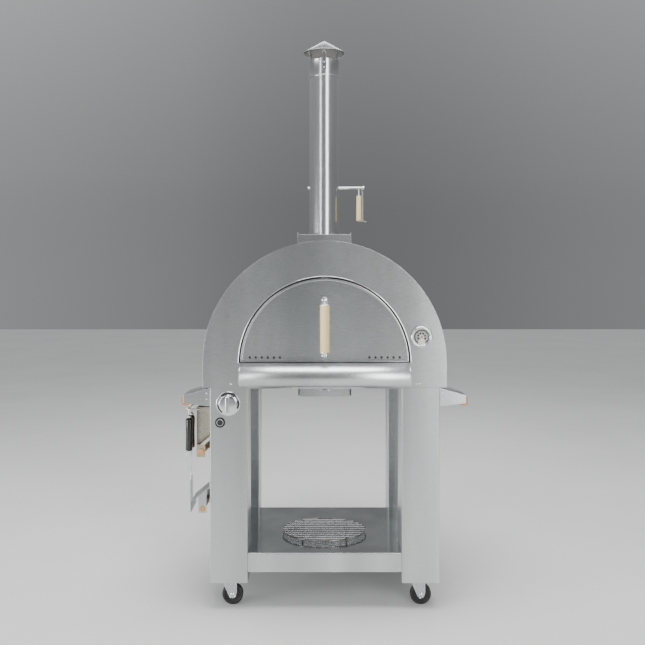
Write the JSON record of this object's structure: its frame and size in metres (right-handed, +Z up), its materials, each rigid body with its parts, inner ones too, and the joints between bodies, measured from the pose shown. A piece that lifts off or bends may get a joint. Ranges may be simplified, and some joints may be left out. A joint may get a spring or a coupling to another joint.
{
  "type": "pizza oven",
  "caption": "Arched stainless pizza oven on a wheeled cart, with a lift-out door, ash drawer, flue with damper, gas knob, side grips and tool rack.",
  "frame": {"origin": "on the floor, under the middle of the oven's outline", "axes": "+Z up, the door faces -Y, +X to the right of someone who faces the door"},
  "size_m": [1.06, 0.8, 2.205],
  "materials": {
    "brushed_steel": "brushed",
    "polished_steel": "polished",
    "zinc": "zinc plated, satin",
    "wood": "smooth, oiled",
    "black_plastic": "matte",
    "wheel_rubber": "matte",
    "baking_stone": "rough stone",
    "ceramic_fibre": "fibrous",
    "brass": "satin",
    "clear_glass": "clear",
    "needle_red": "matte"
  },
  "bodies": {
    "oven": {"baking_stone_left": "baking_stone", "baking_stone_right": "baking_stone", "base_pan": "brushed_steel", "bracket_grip_left": "wood", "bracket_grip_right": "wood", "bracket_left": "brushed_steel", "bracket_right": "brushed_steel", "burner_tube": "polished_steel", "drawer_runner": "brushed_steel", "flue_collar": "brushed_steel", "flue_pipe": "polished_steel", "flue_sleeve": "polished_steel", "front_ledge": "brushed_steel", "front_panel": "brushed_steel", "gas_pipe": "brass", "gas_valve": "brass", "igniter_housing": "black_plastic", "inner_dome": "brushed_steel", "insulation_jacket": "ceramic_fibre", "knob_bezel": "polished_steel", "leg_front_left": "brushed_steel", "leg_front_right": "brushed_steel", "leg_rear_left": "brushed_steel", "leg_rear_right": "brushed_steel", "lower_shelf": "brushed_steel", "outer_casing": "brushed_steel", "rack_plate": "polished_steel", "rack_rail_lower": "wood", "rack_rail_upper": "wood", "rack_strip": "polished_steel", "rain_cap": "brushed_steel", "rear_panel": "brushed_steel", "thermometer_case": "polished_steel", "thermometer_lens": "clear_glass", "tool_rail": "polished_steel"},
    "door": {"door_panel": "brushed_steel", "door_liner": "brushed_steel", "door_handle_rod": "polished_steel", "door_grip": "wood"},
    "ash_drawer": {"ash_drawer": "brushed_steel"},
    "gas_spindle": {"valve_spindle": "brass"},
    "gas_knob": {"gas_knob": "polished_steel"},
    "igniter_button": {"igniter_button": "black_plastic"},
    "thermometer_needle": {"thermometer_needle": "needle_red"},
    "damper": {"damper_valve": "polished_steel", "damper_grip": "wood"},
    "brake_pedal": {"brake_pedal": "black_plastic"},
    "server": {"server_handle": "black_plastic", "server_blade": "polished_steel"},
    "turner": {"turner_handle": "black_plastic", "turner_blade": "polished_steel"},
    "wire_rack": {"wire_rack": "polished_steel"},
    "caster_front_left": {"caster_fork_front_left": "zinc"},
    "wheel_front_left": {"caster_wheel_front_left": "wheel_rubber"},
    "caster_front_right": {"caster_fork_front_right": "zinc"},
    "wheel_front_right": {"caster_wheel_front_right": "wheel_rubber"},
    "caster_rear_left": {"caster_fork_rear_left": "zinc"},
    "wheel_rear_left": {"caster_wheel_rear_left": "wheel_rubber"},
    "caster_rear_right": {"caster_fork_rear_right": "zinc"},
    "wheel_rear_right": {"caster_wheel_rear_right": "wheel_rubber"}
  },
  "joints": [
    {"name": "door_lift_out", "type": "slide", "parent": "oven", "child": "door", "axis": [0, -1, 0], "range_m": [0, 0.25]},
    {"name": "ash_drawer_slide", "type": "slide", "parent": "oven", "child": "ash_drawer", "axis": [0, -1, 0], "range_m": [0, 0.2]},
    {"name": "gas_knob_push", "type": "slide", "parent": "oven", "child": "gas_spindle", "axis": [0, 1, 0], "range_m": [0, 0.003], "stiffness_N_per_m": 600, "springref_m": -0.002},
    {"name": "gas_knob_turn", "type": "hinge", "parent": "gas_spindle", "child": "gas_knob", "pos_m": [-0.357, -0.31, 0.768], "axis": [0, -1, 0], "range_deg": [0, 210]},
    {"name": "igniter_press", "type": "slide", "parent": "oven", "child": "igniter_button", "axis": [0, 1, 0], "range_m": [0, 0.004], "stiffness_N_per_m": 800, "springref_m": -0.0015},
    {"name": "thermometer_needle_turn", "type": "hinge", "parent": "oven", "child": "thermometer_needle", "pos_m": [0.358, -0.31, 1.015], "axis": [0, 1, 0], "range_deg": [0, 270]},
    {"name": "damper_turn", "type": "hinge", "parent": "oven", "child": "damper", "pos_m": [0, 0.02, 1.601], "axis": [-1, 0, 0], "range_deg": [0, 90]},
    {"name": "caster_front_left_swivel", "type": "hinge", "parent": "oven", "child": "caster_front_left", "pos_m": [-0.355, -0.24, 0.1], "axis": [0, 0, 1], "continuous": true},
    {"name": "wheel_front_left_spin", "type": "hinge", "parent": "caster_front_left", "child": "wheel_front_left", "pos_m": [-0.347, -0.24, 0.03951], "axis": [0, 1, 0], "continuous": true},
    {"name": "caster_front_right_swivel", "type": "hinge", "parent": "oven", "child": "caster_front_right", "pos_m": [0.355, -0.24, 0.1], "axis": [0, 0, 1], "continuous": true},
    {"name": "wheel_front_right_spin", "type": "hinge", "parent": "caster_front_right", "child": "wheel_front_right", "pos_m": [0.363, -0.24, 0.03951], "axis": [0, 1, 0], "continuous": true},
    {"name": "caster_rear_left_swivel", "type": "hinge", "parent": "oven", "child": "caster_rear_left", "pos_m": [-0.355, 0.33, 0.1], "axis": [0, 0, 1], "continuous": true},
    {"name": "wheel_rear_left_spin", "type": "hinge", "parent": "caster_rear_left", "child": "wheel_rear_left", "pos_m": [-0.347, 0.33, 0.03951], "axis": [0, 1, 0], "continuous": true},
    {"name": "caster_rear_right_swivel", "type": "hinge", "parent": "oven", "child": "caster_rear_right", "pos_m": [0.355, 0.33, 0.1], "axis": [0, 0, 1], "continuous": true},
    {"name": "wheel_rear_right_spin", "type": "hinge", "parent": "caster_rear_right", "child": "wheel_rear_right", "pos_m": [0.363, 0.33, 0.03951], "axis": [0, 1, 0], "continuous": true},
    {"name": "brake_pedal_press", "type": "hinge", "parent": "caster_front_left", "child": "brake_pedal", "pos_m": [-0.335, -0.24, 0.092], "axis": [0, 1, 0], "range_deg": [0, 8]},
    {"name": "server_swing", "type": "hinge", "parent": "oven", "child": "server", "pos_m": [-0.508, -0.272, 0.744], "axis": [0, 1, 0], "range_deg": [0, 30]},
    {"name": "turner_swing", "type": "hinge", "parent": "oven", "child": "turner", "pos_m": [-0.508, -0.215, 0.744], "axis": [0, 1, 0], "range_deg": [0, 30]},
    {"name": "wire_rack_lift", "type": "slide", "parent": "oven", "child": "wire_rack", "axis": [0, 0, 1], "range_m": [0, 0.15]}
  ]
}
